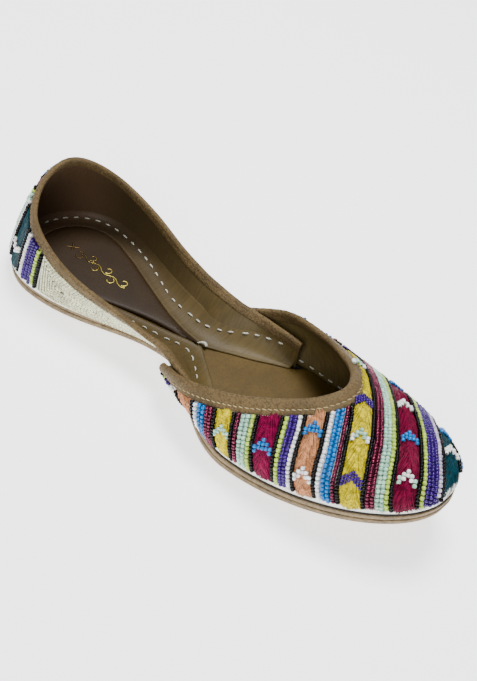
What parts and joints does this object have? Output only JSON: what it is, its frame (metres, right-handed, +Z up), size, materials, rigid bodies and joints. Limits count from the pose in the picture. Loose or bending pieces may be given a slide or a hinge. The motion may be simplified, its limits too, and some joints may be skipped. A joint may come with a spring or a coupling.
{
  "type": "mojari shoe",
  "caption": "Flat slip-on mojari for the right foot: low leather sole with an upturned toe, a narrow waist, an open vamp and a high-backed quarter, both edged with bound leather.",
  "frame": {"origin": "middle of the shoe's box on the floor it stands on", "axes": "+X from heel to toe, +Y to the inner side of the right foot, +Z up"},
  "size_m": [0.2576, 0.0848, 0.0569],
  "materials": {
    "sole_leather": "layered tan sole leather, matt",
    "insole_leather": "golden tan leather, smooth",
    "sock_leather": "brown padded leather, satin",
    "upper_cloth": "white cloth worked with beads and satin stitch",
    "binding_leather": "fine-grained tan leather, machine stitched",
    "lining_leather": "olive brown lining leather, creased near the heel",
    "seed_beads": "opaque glass seed beads in many colours, glossy",
    "satin_thread": "satin stitch in silky thread, several colours",
    "sewing_thread": "cream sewing thread",
    "gold_foil": "stamped gold foil flourish"
  },
  "bodies": {
    "root": {"outsole": "sole_leather", "midsole": "sole_leather", "insole": "insole_leather", "heel_sock": "sock_leather", "quarter": "upper_cloth", "quarter_binding": "binding_leather", "vamp": "upper_cloth", "vamp_binding": "binding_leather"}
  },
  "joints": []
}
